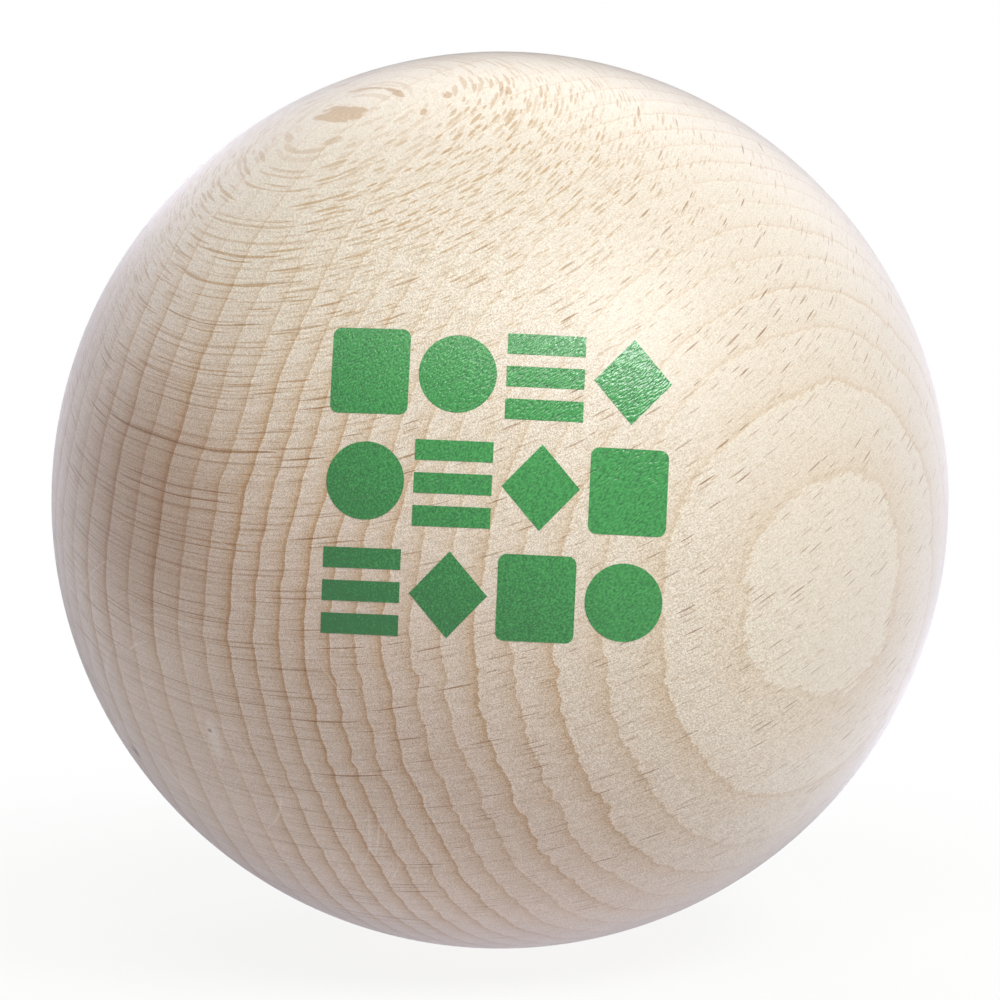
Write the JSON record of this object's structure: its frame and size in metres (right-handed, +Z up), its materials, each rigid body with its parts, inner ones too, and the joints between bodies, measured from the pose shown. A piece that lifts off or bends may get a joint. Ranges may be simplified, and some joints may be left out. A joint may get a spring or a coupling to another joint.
{
  "type": "wooden ball",
  "caption": "Solid turned beech ball with a printed block of plain green marks on its front.",
  "frame": {"origin": "centre of the ball", "axes": "+Z up, the middle of the print faces -Y and looks 10 degrees up, +X to the right as the print is seen from the front"},
  "size_m": [0.07, 0.07, 0.07],
  "materials": {
    "beech": "bare turned and sanded beech with rings, ray flecks and fine pores, dull sheen",
    "green_ink": "thin printed green ink, satin, with the grain of the wood showing through"
  },
  "bodies": {
    "root": {"ball": "beech", "print_marks": "green_ink"}
  },
  "joints": []
}
